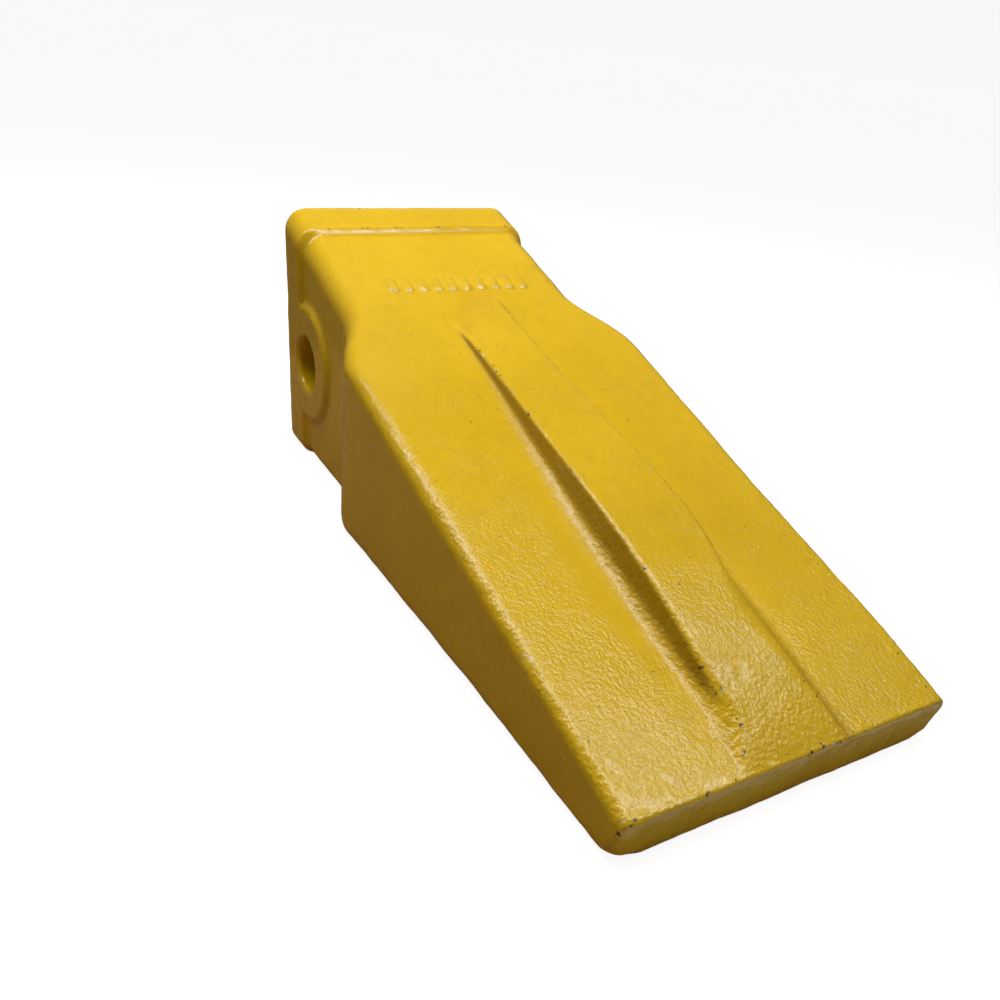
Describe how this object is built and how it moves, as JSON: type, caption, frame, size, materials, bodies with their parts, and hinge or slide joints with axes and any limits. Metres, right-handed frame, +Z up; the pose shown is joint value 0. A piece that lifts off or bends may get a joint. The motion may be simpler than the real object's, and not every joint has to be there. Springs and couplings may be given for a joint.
{
  "type": "excavator bucket tooth",
  "caption": "Wedge-shaped cast digging tooth with a bowed centre rib, flared shoulders, a nose socket and a cross lock pin held by a sprung, cushioned retainer.",
  "frame": {"origin": "under the middle of the tooth, on the flat underside it rests on", "axes": "+X from the rear rim to the cutting edge, +Y across the tooth to the retainer ear, +Z up"},
  "size_m": [0.254, 0.117, 0.096],
  "materials": {
    "yellow_paint": "glossy yellow enamel over a sand-cast surface, with small chips at the edges",
    "pin_steel": "hardened, black oxide, lightly rubbed",
    "spring_steel": "spring steel, satin",
    "urethane": "moulded urethane, matte"
  },
  "bodies": {
    "tooth": {"tooth_casting": "yellow_paint"},
    "pin": {"lock_pin": "pin_steel"},
    "retainer": {"retainer_cushion": "urethane", "retainer_ring": "spring_steel"}
  },
  "joints": [
    {"name": "pin_drive", "type": "slide", "parent": "tooth", "child": "pin", "axis": [0, 1, 0], "range_m": [-0.11, 0], "deforming": ["retainer_ring"]},
    {"name": "retainer_lift", "type": "slide", "parent": "tooth", "child": "retainer", "axis": [0, -1, 0], "range_m": [0, 0.009], "deforming": ["retainer_ring"]}
  ]
}
